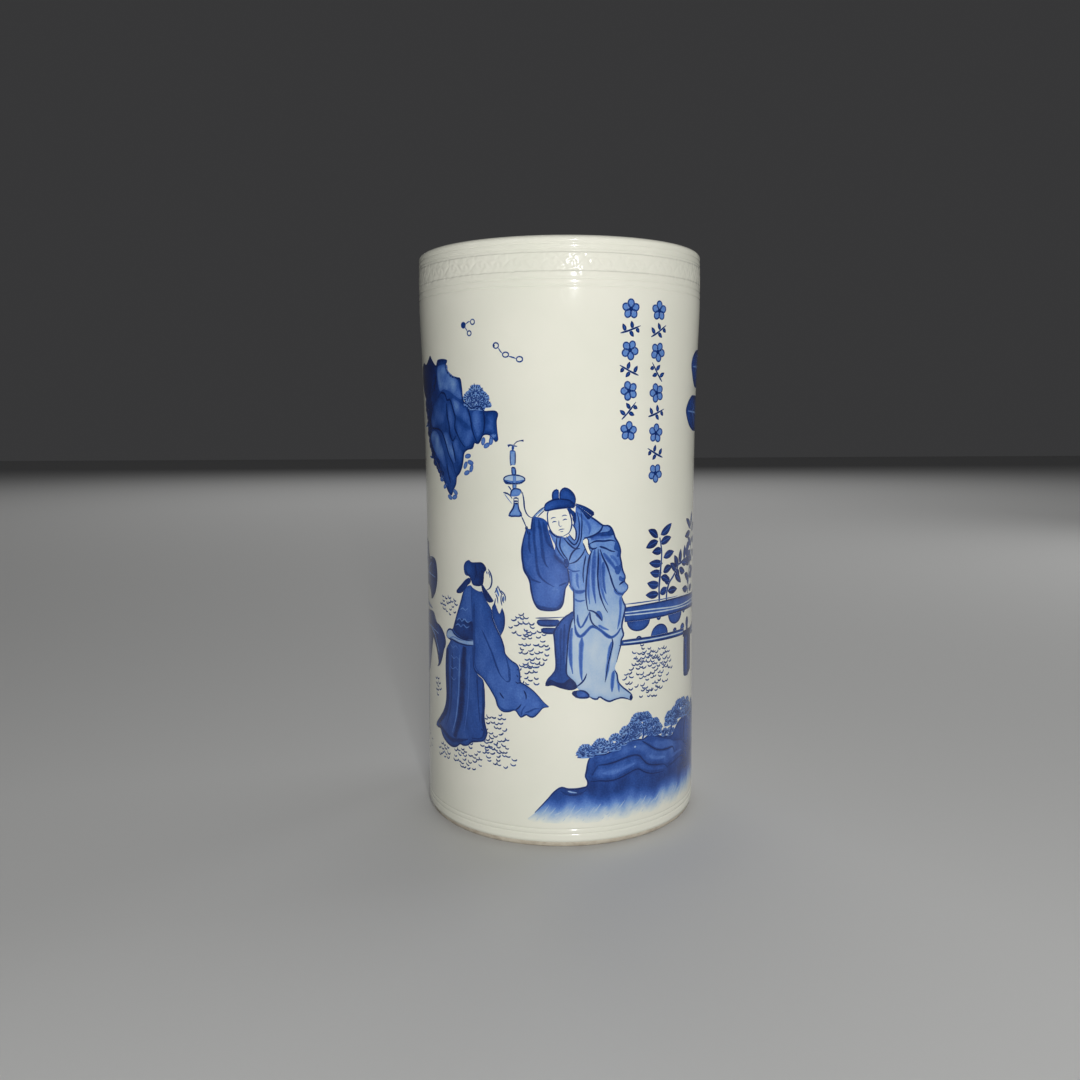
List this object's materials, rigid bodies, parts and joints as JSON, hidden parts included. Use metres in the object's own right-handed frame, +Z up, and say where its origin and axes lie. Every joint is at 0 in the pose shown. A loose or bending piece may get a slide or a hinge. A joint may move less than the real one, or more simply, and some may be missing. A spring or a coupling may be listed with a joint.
{
  "type": "brush holder pot",
  "caption": "Tall open porcelain cylinder with a gentle waist and a shallow foot ring, glazed inside and out, that stores writing brushes upright.",
  "frame": {"origin": "on the pot's axis, in the plane that the foot ring stands on", "axes": "+Z up along the pot's axis; -Y towards the middle of the painted scene; +X to the right of someone who looks at it"},
  "size_m": [0.1056, 0.1056, 0.21],
  "materials": {
    "porcelain_biscuit": "bare fired porcelain, matt and very slightly warm at the foot",
    "clear_glaze": "clear glossy glaze, faintly grey-green, over white porcelain",
    "cobalt_underglaze": "cobalt blue brush painting seen through the clear glaze"
  },
  "bodies": {
    "root": {"wall_cylinder": "porcelain_biscuit", "floor_disc": "porcelain_biscuit", "luting_slip": "porcelain_biscuit", "outer_glaze": "clear_glaze", "inner_glaze": "clear_glaze", "base_glaze": "clear_glaze"}
  },
  "joints": []
}
